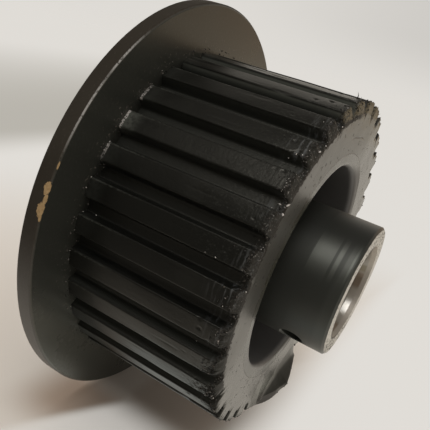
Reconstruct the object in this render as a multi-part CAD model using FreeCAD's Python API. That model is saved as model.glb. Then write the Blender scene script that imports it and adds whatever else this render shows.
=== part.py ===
import FreeCAD, Part
import math
import os

# Rubber drive wheel of a feeder: a ribbed rubber tread bonded to a steel drum, a guide flange
# screwed to the back of the drum, and a set-screw hub screwed to the drum's web inside the pocket.
# Millimetres. The axle lies along Y, the hub points to -Y, the origin is on the axle at mid tread.

# Sizes across the axle, from the shaft outwards
bore_diameter = 35.0
hub_wall = 7.5
spigot_wall = 4.5
washer_margin = 1.25  # washer to the hub's barrel, and washer to the collar's rim
collar_gap = 1.5  # collar's rim to the pocket's wall
core_wall = 5.0
tread_thickness = 18.0  # drum to rib tips
flange_lip = 17.0  # rib tips to the flange's rim

# Sizes along the axle
tread_width = 60.0
flange_thickness = 6.0
web_thickness = 12.0
collar_thickness = 8.0
hub_reach = 19.5  # hub's end beyond the tread's end

# Ribs of the tread, parted by grooves with sloping flanks
rib_count = 32
groove_depth = 4.0
groove_floor = 4.0
flank_angle = 13.0
rib_tip_radius = 0.5
rib_root_radius = 0.8

# Edges
flange_chamfer = 0.7  # at the flange's front
flange_back_chamfer = 0.2
mouth_round = 2.2  # drum's end face into the pocket
hub_chamfer = 0.8
bore_chamfer = 1.0  # at the flange's back
bore_lead = 4.0  # length of the taper that leads the shaft in at the hub's end
bore_lead_rise = 0.5  # wider than the bore at that taper's mouth
collar_chamfer = 1.0
pocket_fillet = 1.0
screw_chamfer = 0.5

# Screws that hold the hub's collar and the flange to the web, as many of each
screw_count = 6
screw_diameter = 6.0
socket_across = 4.0
socket_depth = 2.5
head_lip = 2.0  # round head beyond the shank
head_height = 6.0
sunk_head_lip = 2.7  # countersunk head beyond the shank
sunk_head_recess = 0.3  # countersunk head below the flange's back
thread_length = 8.0  # screw inside the web
tip_room = 1.5  # hole beyond a screw's tip
washer_rim = 0.5  # washer beyond the screw's head
washer_thickness = 1.6

# Set screws in the hub's bare end
set_screw_count = 2
set_screw_diameter = 8.0
set_screw_from_end = 12.5
set_screw_angle = 230.0  # first one, from +X towards +Z
set_screw_spacing = 90.0
set_screw_recess = 2.0  # below the hub's surface
set_screw_tip_gap = 0.5  # short of the bore
set_screw_chamfer = 1.0
set_screw_cup = 1.2  # depth of the cupped point
set_screw_socket_across = 4.0
set_screw_socket_depth = 2.8
hole_countersink = 0.6

# Play between pieces
fit_gap = 0.05
thread_gap = 0.15

# Radii that follow
bore_radius = bore_diameter / 2
spigot_radius = bore_radius + spigot_wall
hub_radius = bore_radius + hub_wall
screw_radius = screw_diameter / 2
head_radius = screw_radius + head_lip
washer_radius = head_radius + washer_rim
hub_screw_circle = hub_radius + washer_margin + washer_radius
collar_radius = hub_screw_circle + washer_radius + washer_margin
pocket_radius = collar_radius + collar_gap
core_radius = pocket_radius + core_wall
tread_radius = core_radius + tread_thickness
flange_radius = tread_radius + flange_lip
flange_screw_circle = (spigot_radius + core_radius) / 2
set_screw_radius = set_screw_diameter / 2

# Places along the axle that follow
tread_front = -tread_width / 2
tread_back = tread_front + tread_width
flange_back = tread_back + flange_thickness
web_front = tread_back - web_thickness
collar_front = web_front - collar_thickness
hub_front = tread_front - hub_reach
set_screw_place = hub_front + set_screw_from_end

ORIGIN = FreeCAD.Vector(0, 0, 0)
AXLE = FreeCAD.Vector(0, 1, 0)
OUTWARD = FreeCAD.Vector(1, 0, 0)
HALF_TURN = 180.0
FULL_TURN = 360.0


def ring(corners):
    """Solid turned about the axle from (radius, place) corners; a third number rounds that corner."""
    points = [FreeCAD.Vector(corner[0], corner[1], 0) for corner in corners]
    edges = []
    last_end = None
    first_start = None
    for index, corner in enumerate(corners):
        point = points[index]
        to_last = (points[index - 1] - point).normalize()
        to_next = (points[(index + 1) % len(points)] - point).normalize()
        start = end = point
        bend = None
        if len(corner) > 2:
            radius = corner[2]
            half_angle = to_last.getAngle(to_next) / 2
            start = point + to_last * (radius / math.tan(half_angle))
            end = point + to_next * (radius / math.tan(half_angle))
            inward = (to_last + to_next).normalize()
            middle = point + inward * (radius / math.sin(half_angle) - radius)
            bend = Part.Arc(start, middle, end).toShape()
        if last_end is None:
            first_start = start
        else:
            edges.append(Part.makeLine(last_end, start))
        if bend:
            edges.append(bend)
        last_end = end
    edges.append(Part.makeLine(last_end, first_start))
    return Part.Face(Part.Wire(edges)).revolve(ORIGIN, AXLE, FULL_TURN)


def about_axle(shape, angle):
    """Copy turned about the axle by an angle counted from +X towards +Z."""
    return shape.rotated(ORIGIN, AXLE, -angle)


def on_circle(shape, radius, angle):
    """Copy carried from the axle out to a circle of holes."""
    return about_axle(shape.translated(OUTWARD * radius), angle)


def hexagon_bar(across, depth, place, direction):
    """Six-sided bar that cuts a key socket."""
    corner_radius = across / math.sqrt(3)
    bar = Part.Face(Part.makePolygon([
        FreeCAD.Vector(
            corner_radius * math.cos(math.radians(turn)),
            corner_radius * math.sin(math.radians(turn)),
            0,
        )
        for turn in range(0, 361, 60)
    ])).extrude(FreeCAD.Vector(0, 0, depth))
    bar.Placement = FreeCAD.Placement(
        place, FreeCAD.Rotation(FreeCAD.Vector(0, 0, 1), direction)
    )
    return bar


def pitch_angles(offset):
    """Angles of one circle of screws; an offset of half a pitch puts them between the other circle's."""
    return [FULL_TURN / screw_count * (index + offset) for index in range(screw_count)]


hub_screw_angles = pitch_angles(0)
flange_screw_angles = pitch_angles(0.5)
set_screw_angles = [
    set_screw_angle + set_screw_spacing * index for index in range(set_screw_count)
]


def make_hub():
    """Turned hub: barrel, collar that lies on the web, and spigot through the web and the flange."""
    barrel_fillet = washer_margin - fit_gap
    hub = ring([
        (bore_radius, hub_front + bore_lead),
        (bore_radius + bore_lead_rise, hub_front),
        (hub_radius - hub_chamfer, hub_front),
        (hub_radius, hub_front + hub_chamfer),
        (hub_radius, collar_front, barrel_fillet),
        (collar_radius - collar_chamfer, collar_front),
        (collar_radius, collar_front + collar_chamfer),
        (collar_radius, web_front - collar_chamfer),
        (collar_radius - collar_chamfer, web_front),
        (spigot_radius, web_front),
        (spigot_radius, flange_back - hub_chamfer),
        (spigot_radius - hub_chamfer, flange_back),
        (bore_radius + bore_chamfer, flange_back),
        (bore_radius, flange_back - bore_chamfer),
    ])
    shank_hole = Part.makeCylinder(
        screw_radius + fit_gap, collar_thickness, FreeCAD.Vector(0, collar_front, 0), AXLE
    )
    cuts = [on_circle(shank_hole, hub_screw_circle, angle) for angle in hub_screw_angles]
    hole_place = FreeCAD.Vector(0, set_screw_place, 0)
    thread_hole = Part.makeCylinder(set_screw_radius, hub_radius, hole_place, OUTWARD)
    mouth = Part.makeCone(
        set_screw_radius,
        set_screw_radius + 2 * hole_countersink,
        2 * hole_countersink,
        hole_place + OUTWARD * (hub_radius - hole_countersink),
        OUTWARD,
    )
    cuts += [about_axle(thread_hole.fuse(mouth), angle) for angle in set_screw_angles]
    return hub.cut(Part.makeCompound(cuts))


def make_core_drum():
    """Steel cup under the rubber: a tube with a thick web at the flange end."""
    drum = ring([
        (spigot_radius + fit_gap, web_front),
        (pocket_radius, web_front, pocket_fillet),
        (pocket_radius, tread_front, mouth_round),
        (core_radius, tread_front),
        (core_radius, tread_back),
        (spigot_radius + fit_gap, tread_back),
    ])
    hole = Part.makeCylinder(screw_radius + fit_gap, thread_length + tip_room, ORIGIN, AXLE)
    front_hole = hole.translated(AXLE * web_front)
    back_hole = hole.translated(AXLE * (tread_back - thread_length - tip_room))
    cuts = [on_circle(front_hole, hub_screw_circle, angle) for angle in hub_screw_angles]
    cuts += [on_circle(back_hole, flange_screw_circle, angle) for angle in flange_screw_angles]
    return drum.cut(Part.makeCompound(cuts))


def flank_point(radius, offset):
    """Point (out, across) at a radius from the axle and at a distance from the flank of a groove.

    The flank is the line that leaves the edge of the groove's floor at the flank angle.
    A positive offset lies in the rib, a negative one in the groove.
    """
    slope = math.tan(math.radians(flank_angle))
    shift = groove_floor / 2 - (tread_radius - groove_depth) * slope
    shift += offset / math.cos(math.radians(flank_angle))
    square = 1 + slope * slope
    root = math.sqrt(radius * radius * square - shift * shift)
    out = (root - slope * shift) / square
    return out, slope * out + shift


def in_groove(out, across, angle):
    """Place of a point of a groove that is turned about the axle by an angle."""
    turn = math.radians(angle)
    return FreeCAD.Vector(
        out * math.cos(turn) - across * math.sin(turn),
        tread_front,
        out * math.sin(turn) + across * math.cos(turn),
    )


def groove_points():
    """Points of half a groove, as (out, across): middle of the floor, then along the flank to the rib's tip."""
    floor_radius = tread_radius - groove_depth
    lean = math.radians(flank_angle)
    root_out, root_across = flank_point(floor_radius + rib_root_radius, -rib_root_radius)
    tip_out, tip_across = flank_point(tread_radius - rib_tip_radius, rib_tip_radius)
    root_turn = math.atan2(root_across, root_out)
    tip_turn = math.atan2(tip_across, tip_out)

    def at(centre_out, centre_across, radius, turn):
        return centre_out + radius * math.cos(turn), centre_across + radius * math.sin(turn)

    # the flank faces the groove, so its normal points back across the groove's middle
    to_rib = lean + math.pi / 2
    to_groove = lean - math.pi / 2
    root_start = root_turn + math.pi
    return {
        "floor_end": at(0, 0, floor_radius, root_turn),
        "root_middle": at(root_out, root_across, rib_root_radius, (root_start + to_rib) / 2),
        "root_end": at(root_out, root_across, rib_root_radius, to_rib),
        "tip_start": at(tip_out, tip_across, rib_tip_radius, to_groove),
        "tip_middle": at(tip_out, tip_across, rib_tip_radius, (to_groove + tip_turn) / 2),
        "tip_end": at(0, 0, tread_radius, tip_turn),
    }


def make_rubber_tread():
    """Rubber ring with axial ribs; the outline runs round floors, rounded roots, flanks and rib tips."""
    pitch = FULL_TURN / rib_count
    points = groove_points()
    edges = []
    for index in range(rib_count):
        angle = pitch * index

        def near(name):
            out, across = points[name]
            return in_groove(out, -across, angle)

        def far(name):
            return in_groove(*points[name], angle)

        next_tip = in_groove(points["tip_end"][0], -points["tip_end"][1], angle + pitch)
        edges += [
            Part.Arc(near("tip_end"), near("tip_middle"), near("tip_start")).toShape(),
            Part.makeLine(near("tip_start"), near("root_end")),
            Part.Arc(near("root_end"), near("root_middle"), near("floor_end")).toShape(),
            Part.Arc(
                near("floor_end"), in_groove(tread_radius - groove_depth, 0, angle), far("floor_end")
            ).toShape(),
            Part.Arc(far("floor_end"), far("root_middle"), far("root_end")).toShape(),
            Part.makeLine(far("root_end"), far("tip_start")),
            Part.Arc(far("tip_start"), far("tip_middle"), far("tip_end")).toShape(),
            Part.Arc(
                far("tip_end"), in_groove(tread_radius, 0, angle + pitch / 2), next_tip
            ).toShape(),
        ]
    ribbed = Part.Face(Part.Wire(edges)).extrude(AXLE * tread_width)
    seat = Part.makeCylinder(
        core_radius + fit_gap, tread_width, FreeCAD.Vector(0, tread_front, 0), AXLE
    )
    return ribbed.cut(seat)


def make_rear_flange():
    """Flat disc that guides the belt or the goods, with bevelled rim and countersunk holes."""
    flange = ring([
        (spigot_radius + fit_gap, tread_back),
        (flange_radius - flange_chamfer, tread_back),
        (flange_radius, tread_back + flange_chamfer),
        (flange_radius, flange_back - flange_back_chamfer),
        (flange_radius - flange_back_chamfer, flange_back),
        (spigot_radius + fit_gap, flange_back),
    ])
    hole = Part.makeCylinder(
        screw_radius + fit_gap, flange_thickness, FreeCAD.Vector(0, tread_back, 0), AXLE
    )
    sink_depth = sunk_head_lip + sunk_head_recess
    sink = Part.makeCone(
        screw_radius + fit_gap,
        screw_radius + fit_gap + sink_depth,
        sink_depth,
        FreeCAD.Vector(0, flange_back - sink_depth, 0),
        AXLE,
    )
    cutter = hole.fuse(sink)
    cuts = [on_circle(cutter, flange_screw_circle, angle) for angle in flange_screw_angles]
    return flange.cut(Part.makeCompound(cuts))


def make_hub_screw():
    """Round-headed key screw on the axle: it lies on a washer and points at the web."""
    head_back = collar_front - washer_thickness
    head_front = head_back - head_height
    tip = web_front + thread_length
    screw = ring([
        (0, head_front),
        (head_radius - screw_chamfer, head_front),
        (head_radius, head_front + screw_chamfer),
        (head_radius, head_back),
        (screw_radius, head_back),
        (screw_radius, tip - screw_chamfer),
        (screw_radius - screw_chamfer, tip),
        (0, tip),
    ])
    return screw.cut(hexagon_bar(socket_across, socket_depth, AXLE * head_front, AXLE))


def make_hub_washer():
    """Plain washer under a hub screw's head."""
    back = collar_front
    front = back - washer_thickness
    return ring([
        (screw_radius + fit_gap, front),
        (washer_radius, front),
        (washer_radius, back),
        (screw_radius + fit_gap, back),
    ])


def make_flange_screw():
    """Countersunk key screw on the axle: its head sits in the flange and it points at the web."""
    head_back = flange_back - sunk_head_recess
    tip = tread_back - thread_length
    screw = ring([
        (0, head_back),
        (screw_radius + sunk_head_lip, head_back),
        (screw_radius, head_back - sunk_head_lip),
        (screw_radius, tip + screw_chamfer),
        (screw_radius - screw_chamfer, tip),
        (0, tip),
    ])
    return screw.cut(hexagon_bar(socket_across, socket_depth, AXLE * head_back, -AXLE))


def make_set_screw():
    """Headless screw with a cupped point, lying out along +X in the hub's wall."""
    length = hub_wall - set_screw_recess - set_screw_tip_gap
    radius = set_screw_radius - thread_gap
    cup_radius = radius - set_screw_chamfer
    screw = ring([
        (0, set_screw_cup),
        (cup_radius, 0),
        (radius, set_screw_chamfer),
        (radius, length - screw_chamfer),
        (radius - screw_chamfer, length),
        (0, length),
    ])
    screw = screw.cut(
        hexagon_bar(set_screw_socket_across, set_screw_socket_depth, AXLE * length, -AXLE)
    )
    screw = screw.rotated(ORIGIN, FreeCAD.Vector(0, 0, 1), -HALF_TURN / 2)
    return screw.translated(
        FreeCAD.Vector(bore_radius + set_screw_tip_gap, set_screw_place, 0)
    )


def all_pieces():
    """Every piece of the wheel by name, in its place."""
    pieces = {
        "hub": make_hub(),
        "core_drum": make_core_drum(),
        "rubber_tread": make_rubber_tread(),
        "rear_flange": make_rear_flange(),
    }
    hub_screw = make_hub_screw()
    hub_washer = make_hub_washer()
    flange_screw = make_flange_screw()
    set_screw = make_set_screw()
    for number, angle in enumerate(hub_screw_angles, 1):
        pieces[f"hub_screw_{number}"] = on_circle(hub_screw, hub_screw_circle, angle)
        pieces[f"hub_washer_{number}"] = on_circle(hub_washer, hub_screw_circle, angle)
    for number, angle in enumerate(flange_screw_angles, 1):
        pieces[f"flange_screw_{number}"] = on_circle(flange_screw, flange_screw_circle, angle)
    for number, angle in enumerate(set_screw_angles, 1):
        pieces[f"set_screw_{number}"] = about_axle(set_screw, angle)
    return pieces


os.makedirs("parts", exist_ok=True)
for name, shape in all_pieces().items():
    if not shape.isValid() or len(shape.Solids) != 1:
        raise ValueError(f"{name} is not one sound solid")
    shape.exportStep(f"parts/{name}.step")
    box = shape.BoundBox
    print(f"{name}: {shape.Volume:.0f} mm3, {box.XLength:.1f} x {box.YLength:.1f} x {box.ZLength:.1f} mm")
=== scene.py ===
# %% [markdown]
# # A rubber drive wheel
# A feeder pushes goods along with this wheel: ribbed rubber on a steel drum, a guide flange at the back and
# a hub that two set screws clamp to a shaft. Its construction is already modelled to size, so this lesson
# only dresses it: worn rubber, scuffed paint, blackened steel and bare steel. All pieces are in metres and in
# one frame: the axle lies along Y, the hub points to -Y and Z is up.

# %% Load the frame
import math
import bpy
import numpy as np
from mathutils import Matrix, Vector


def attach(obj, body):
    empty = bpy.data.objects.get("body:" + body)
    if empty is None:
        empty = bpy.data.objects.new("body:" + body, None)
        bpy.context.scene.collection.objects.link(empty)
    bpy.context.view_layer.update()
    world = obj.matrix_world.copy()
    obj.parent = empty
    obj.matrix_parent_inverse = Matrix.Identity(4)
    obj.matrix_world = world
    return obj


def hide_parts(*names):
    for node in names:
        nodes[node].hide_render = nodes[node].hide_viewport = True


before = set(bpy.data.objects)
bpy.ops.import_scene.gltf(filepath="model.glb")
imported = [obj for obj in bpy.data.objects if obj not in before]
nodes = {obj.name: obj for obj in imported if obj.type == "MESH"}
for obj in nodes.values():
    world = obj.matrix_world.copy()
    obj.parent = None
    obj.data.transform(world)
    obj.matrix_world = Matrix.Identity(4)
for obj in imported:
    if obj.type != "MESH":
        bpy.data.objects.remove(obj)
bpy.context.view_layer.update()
MM = 0.001

# %% [markdown]
# The sizes of the real pieces are in their meshes. A turned piece is known by how near and how far its
# corners lie from the axle, and by where it starts and ends along it, so those four numbers are read for the
# pieces that get new surfaces or finishes.

# %% Measure the turned pieces
def measure(node):
    """Least and largest distance from the axle, then first and last place along it, of a node's corners."""
    mesh = nodes[node].data
    places = np.empty(len(mesh.vertices) * 3, np.float32)
    mesh.vertices.foreach_get("co", places)
    across, along, up = places.reshape(-1, 3).T.astype(float)
    radius = np.hypot(across, up)
    return [float(value) for value in (radius.min(), radius.max(), along.min(), along.max())]


tread_inner, tread_radius, tread_front, tread_back = measure("rubber_tread")
bore_radius, hub_front = measure("hub")[0::2]
flange_radius = measure("rear_flange")[1]
tread_width = tread_back - tread_front
print(f"tread {tread_radius:.4f} x {tread_width:.4f}, flange {flange_radius:.4f}, bore {bore_radius:.4f}")

# %% [markdown]
# Every new piece is a sheet of points worked out with numpy. Three small helpers turn such points into a
# mesh: one numbers the four corners of each face of a grid, one makes the object and tells the frame which
# body it rides on, and one places points about the axle. Faces that meet at a sharp angle keep a hard edge.

# %% Helpers for meshes
SHARP_ANGLE = math.radians(38)


def grid_faces(rows, columns, close_rows, close_columns):
    """Corners of a grid's quads: a point, the next in its row, the one below that, and the one below it."""
    row = np.arange(rows if close_rows else rows - 1)[:, None]
    column = np.arange(columns if close_columns else columns - 1)[None, :]
    below = (row + 1) % rows
    beside = (column + 1) % columns
    corners = [
        row * columns + column, row * columns + beside, below * columns + beside, below * columns + column,
    ]
    return np.stack(np.broadcast_arrays(*corners), -1).reshape(-1, 4)


def add_piece(name, points, faces, replaced=None):
    """Object at the origin with these points and faces, riding on the wheel's body."""
    mesh = bpy.data.meshes.new(name)
    mesh.from_pydata(points.reshape(-1, 3).tolist(), [], faces)
    mesh.shade_smooth()
    mesh.set_sharp_from_angle(angle=SHARP_ANGLE)
    piece = bpy.data.objects.new(name, mesh)
    bpy.context.scene.collection.objects.link(piece)
    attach(piece, "wheel")
    if replaced:
        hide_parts(replaced)
    print(name, len(mesh.vertices), "points,", len(mesh.polygons), "faces")
    return piece


def around(angle, radius, along):
    """Points at an angle about the axle from +X towards +Z, at a radius and at a place along the axle."""
    return np.stack(np.broadcast_arrays(radius * np.cos(angle), along, radius * np.sin(angle)), -1)


# %% [markdown]
# Worn things are uneven. Instead of a random number at each point, which would look like sand, the unevenness
# is a sum of cosine waves with random directions and phases. It is smooth, it joins up after a full turn
# because each wave has a whole number of crests round the wheel, and a seed makes it the same in every run.

# %% Helper for unevenness
def ripple(seed, angle, along, crests, per_metre, count=28):
    """Sum of cosine waves, scaled to lie mostly between -1 and 1, each with up to `crests` round the wheel
    and up to `per_metre` waves along the axle."""
    draw = np.random.default_rng(seed)
    turns = draw.integers(-crests, crests + 1, count)
    rates = draw.uniform(-per_metre, per_metre, count) * 2 * math.pi
    phases = draw.uniform(0, 2 * math.pi, count)
    total = 0
    for turn, rate, phase in zip(turns, rates, phases):
        total = total + np.cos(turn * angle + rate * along + phase)
    return total / math.sqrt(count)


# %% [markdown]
# ## The rubber tread
# The tread is a thick rubber ring with 32 ribs along the axle. Its outline repeats, so only half a groove is
# drawn: an arc for the floor, a round root, a flank that leans a little, a round tip and an arc for the land.
# Complex numbers make that short: the real part points out of the wheel, the imaginary part across the
# groove.

# %% Outline of one rib
rib_count = 32
groove_depth = 4 * MM
groove_floor = 4 * MM
flank_lean = math.radians(13)
tip_radius = 0.5 * MM
root_radius = 0.8 * MM
LAND_STEPS = 11
pitch = 2 * math.pi / rib_count
floor_radius = tread_radius - groove_depth


def flank_point(radius, offset):
    """Where a line beside the flank, at a distance from it, crosses a circle about the axle."""
    slope = math.tan(flank_lean)
    shift = groove_floor / 2 - floor_radius * slope + offset / math.cos(flank_lean)
    square = 1 + slope * slope
    out = (math.sqrt(radius * radius * square - shift * shift) - slope * shift) / square
    return complex(out, slope * out + shift)


def arc(centre, radius, start, end, steps):
    """Points on a circle about a centre, evenly spaced from one angle to another."""
    return centre + radius * np.exp(1j * np.linspace(start, end, steps))


def rib_outline():
    """Angles and radii of one pitch: half a groove, then its mirror image up to the next groove."""
    root = flank_point(floor_radius + root_radius, -root_radius)
    tip = flank_point(tread_radius - tip_radius, tip_radius)
    root_turn, tip_turn = np.angle(root), np.angle(tip)
    root_arc = arc(root, root_radius, root_turn + math.pi, flank_lean + math.pi / 2, 4)
    tip_arc = arc(tip, tip_radius, flank_lean - math.pi / 2, tip_turn, 5)
    flank = root_arc[-1] + (tip_arc[0] - root_arc[-1]) * np.array([0.35, 0.7])
    half = np.concatenate([
        arc(0, floor_radius, 0, root_turn, 4)[:-1], root_arc, flank, tip_arc,
        arc(0, tread_radius, tip_turn, pitch / 2, LAND_STEPS)[1:],
    ])
    angle, radius = np.angle(half), np.abs(half)
    return np.concatenate([angle, pitch - angle[-2:0:-1]]), np.concatenate([radius, radius[-2:0:-1]])


one_angle, one_radius = rib_outline()
rib_angle = (np.arange(rib_count)[:, None] * pitch + one_angle).ravel()
rib_radius = np.tile(one_radius, rib_count)
print("outline of", len(rib_angle), "points,", len(one_angle), "to a rib")

# %% [markdown]
# The photograph shows a hard life. On the left the front ends of the ribs are rubbed back to a torn slant,
# worst on the lower ribs. Low on the right a flap of rubber is folded forward from the rim into a lip. All of
# it is a function of the angle round the wheel: how far each point of the front edge is bitten back, how far
# the tips of the ribs lean back behind their roots, and how far the lip stands out.

# %% How the front edge is torn
LIP_TURNS = np.radians([263.5, 267.8, 270.9, 275.8, 279.3, 283.3, 287.7, 291.0, 296.0, 299.8, 302.2, 302.8])
LIP_HEIGHTS = np.array([0.0, 1.1, 2.6, 4.2, 4.8, 5.2, 6.2, 5.4, 3.9, 2.5, 1.7, 0.0]) * MM
NOTCH_TURN = math.radians(303.8)
NOTCH_DEPTH = 0.7 * MM
NOTCH_HALF = math.radians(0.9)
CHEWED_MIDDLE = math.radians(208)
CHEWED_SPREAD = math.radians(14)
WORN_MIDDLE = math.radians(152)
WORN_HALF = math.radians(62)
WORN_CHANGE = math.radians(12)
BITE_COUNT = 170
BITE_DEPTHS = (0.15 * MM, 0.85 * MM)
BITE_WIDTHS = (0.2 * MM, 0.85 * MM)
CRUMBLING = 0.2 * MM
SLANT_MEAN = 0.9 * MM
SLANT_SPREAD = 0.4 * MM
SLANT_LIMITS = (0.2 * MM, 1.8 * MM)
LIP_START = 0.6 * MM


def turn_from(angle, middle):
    """Signed turn from a middle angle, between minus and plus half a circle."""
    return (angle - middle + math.pi) % (2 * math.pi) - math.pi


def lip_height(angle):
    """How far the lip stands out: straight lines between the listed heights, with an uneven edge."""
    return np.interp(angle, LIP_TURNS, LIP_HEIGHTS) * (1 + 0.03 * ripple(20, angle, 0, 60, 1))


def chewed(angle):
    """How badly the ribs are worn at the front: 1 at the worst rib, falling off as a bell curve."""
    return np.exp(-((turn_from(angle, CHEWED_MIDDLE) / CHEWED_SPREAD) ** 2))


def front_bite(angle):
    """Depth missing at the front edge: fine crumbling all round, plus the deepest of the bell-shaped bites,
    plus one notch where the lip tore off."""
    draw = np.random.default_rng(11)
    crumbling = CRUMBLING * np.abs(ripple(21, angle, 0, 600, 1)) * (1 + 2 * chewed(angle))
    places = draw.uniform(0, 2 * math.pi, BITE_COUNT)
    depths = draw.uniform(*BITE_DEPTHS, BITE_COUNT) * (1 + 2.4 * chewed(places))
    widths = draw.uniform(*BITE_WIDTHS, BITE_COUNT) / tread_radius
    offset = turn_from(angle[:, None], places)
    notch = NOTCH_DEPTH * np.exp(-((turn_from(angle, NOTCH_TURN) / NOTCH_HALF) ** 2))
    return crumbling + (depths * np.exp(-((offset / widths) ** 2))).max(1) + notch


def tip_slant(angle):
    """How far a rib's tip is rubbed back behind its root: uneven on the worn side, nothing on the other."""
    side = np.clip((WORN_HALF - np.abs(turn_from(angle, WORN_MIDDLE))) / WORN_CHANGE, 0, 1)
    return side * np.clip(SLANT_MEAN + SLANT_SPREAD * ripple(22, angle, 0, 110, 1), *SLANT_LIMITS)


lip = lip_height(rib_angle)
sound = 1 - np.clip(lip / LIP_START, 0, 1)
bite = front_bite(rib_angle) * sound
slant = tip_slant(rib_angle) * sound
for name, depth in {"lip": lip, "bites": bite, "slants": slant}.items():
    print(f"{name} up to {depth.max() / MM:.1f} mm")

# %% [markdown]
# The whole tread is one closed grid, like a tyre's inner tube. Each column is one place round the outline.
# Its rows run along the rib from the flange to the front, over the edge, down the end face, back through the
# seat on the drum and out again behind. The ribs come first. Their rows crowd towards the front edge, where
# the wear is, and the wear is added as small moves along the radius.

# %% Surface of the ribs
COARSE_ROWS = 11
FINE_ROWS = 34
FINE_SHARE = 0.22
RIB_ROWS = COARSE_ROWS + FINE_ROWS
ROW_POWER = 1.6
LAND_WAVE = 0.05 * MM
NICK_DEPTH = 0.6 * MM
NICK_BAND = 0.35 * MM
NICK_LEVEL = 1.15
TORN_REACH = 1.4 * MM
WORST_REACH = 3.4 * MM
TORN_DEPTH = 0.18 * MM
WORST_DEPTH = 0.6 * MM
LIP_SINK = 0.4 * MM
GROOVE_FILL = 1.5 * MM


def rib_sheet():
    """Radii and places along the axle of the ribs' rows, from the flange to the front edge.

    Near the front the distance grows as a power of the row. The lip closes the grooves behind it. The lands
    wave a little, the tips are nicked, and the front is torn, deepest on the worst ribs.
    """
    coarse = np.linspace(1, FINE_SHARE, COARSE_ROWS + 1)[:-1]
    fine = FINE_SHARE * np.linspace(1, 0, FINE_ROWS) ** ROW_POWER
    share = np.concatenate([coarse, fine])[:, None]
    height = (rib_radius - floor_radius) / groove_depth
    front = tread_front - lip + bite + slant * height
    along = front + share * (tread_back - front)
    behind = np.clip(along - tread_front, 0, 1)
    filled = np.clip(lip / MM, 0, 1) * np.exp(-behind / GROOVE_FILL)
    wave = ripple(31, rib_angle, along, 40, 60) * LAND_WAVE
    nick = np.clip(ripple(32, rib_angle, along, 150, 320) - NICK_LEVEL, 0, 1) * NICK_DEPTH
    edge = np.exp(-(((rib_radius - tread_radius + tip_radius / 2) / NICK_BAND) ** 2))
    worst = chewed(rib_angle)
    torn = np.exp(-behind / (TORN_REACH + WORST_REACH * worst)) * sound
    tearing = np.abs(ripple(33, rib_angle, along, 520, 1700)) * (TORN_DEPTH + WORST_DEPTH * worst)
    radius = rib_radius + (tread_radius - LIP_SINK - rib_radius) * filled
    return radius + height * (wave - nick * edge - torn * tearing), along


rib_rows_radius, rib_rows_along = rib_sheet()
print("ribs of", rib_rows_radius.shape, "points")

# %% [markdown]
# The end face starts at the rim that the ribs leave and runs in to the drum. The lip is part of it: a swell
# that grows outwards and then folds forward. One last row, at the back of the drum's seat, closes the grid.
# The corner between ribs and face is rounded by pulling both sheets in.

# %% Surface of the end face
FACE_DEPTHS = np.array([
    0.2, 0.6, 1.2, 1.8, 2.1, 2.5, 2.9, 3.3, 3.7, 4.3, 4.9, 5.6, 6.4, 7.2, 8.0, 8.9, 10.0, 11.5, 14.0, 18.0,
]) / 18.0
FOLD_TURNS = np.radians([270, 276.5, 281, 285, 291, 298.5, 303])
FOLD_STARTS = np.array([61.0, 57.0, 53.8, 52.0, 52.3, 55.0, 59.5]) * MM
CREST_RADII = np.array([62.3, 61.3, 60.9, 61.0, 61.8, 61.9, 62.2]) * MM
CREST_SHARES = np.array([0.05, 0.52, 0.77, 0.90, 0.96, 0.96, 0.96])
SWELL = 1.0 * MM
SWELL_START = 46 * MM
SLANT_ROOT = 0.4 * MM
RIM_BAND = 0.9 * MM
FACE_ROUGH = 0.15 * MM
FACE_WAVE = 0.03 * MM
EDGE_ROUNDING = 0.3 * MM
SEAT_GAP = 0.01 * MM


def corner_pull(distance):
    """How far a point near the corner is pulled in: a parabola, most at the corner, 0 past the rounding."""
    return 0.3 * EDGE_ROUNDING * np.clip(1 - distance / EDGE_ROUNDING, 0, 1) ** 2


def face_sheet(rim):
    """Radii and places along the axle of the end face's rows, from the rim to the drum.

    A gentle swell leads to the lip, which climbs to its crest as a parabola and then more gently to the rim,
    by shares of its height, and a worn rib's end slants evenly to its tip.
    """
    radius = rim + FACE_DEPTHS[:, None] * (tread_inner - rim)
    fold_start = np.interp(rib_angle, FOLD_TURNS, FOLD_STARTS)
    crest = np.interp(rib_angle, FOLD_TURNS, CREST_RADII)
    crest_share = np.interp(rib_angle, FOLD_TURNS, CREST_SHARES)
    climb = np.clip((radius - fold_start) / (crest - fold_start), 0, 1) ** 2
    fold = crest_share * climb + (1 - crest_share) * np.clip((radius - crest) / (rim - crest), 0, 1)
    swell = np.minimum(SWELL, 0.9 * lip)
    foot = np.clip((radius - SWELL_START) / (crest - SWELL_START), 0, 1)
    lean = np.clip((radius - floor_radius - SLANT_ROOT) / (groove_depth - SLANT_ROOT), 0, 1)
    near_rim = np.exp(-(rim - radius) / RIM_BAND)
    rough = np.abs(ripple(35, rib_angle, radius, 520, 1500)) * lean * (slant > 0) * FACE_ROUGH
    wave = ripple(34, rib_angle, radius, 24, 130) * FACE_WAVE * (1 - near_rim)
    along = tread_front - swell * foot - (lip - swell) * fold
    return radius, along + bite * near_rim + slant * lean + rough + wave


def tread_surface():
    """Grid of points, rows by columns: ribs from back to front, end face inwards, and one row on the seat."""
    rim = rib_rows_radius[-1]
    face_radius, face_along = face_sheet(rim)
    rib_pull = corner_pull(rib_rows_along - rib_rows_along[-1])
    face_pull = corner_pull(rim - face_radius)
    return np.concatenate([
        around(rib_angle, rib_rows_radius - rib_pull, rib_rows_along + rib_pull),
        around(rib_angle, face_radius, face_along + face_pull),
        around(rib_angle, np.full((1, len(rib_angle)), tread_inner), tread_back - SEAT_GAP),
    ])


tread_points = tread_surface()
tread_faces = grid_faces(*tread_points.shape[:2], True, True)
rubber_tread = add_piece("worn_tread", tread_points, tread_faces.tolist(), "rubber_tread")

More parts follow.
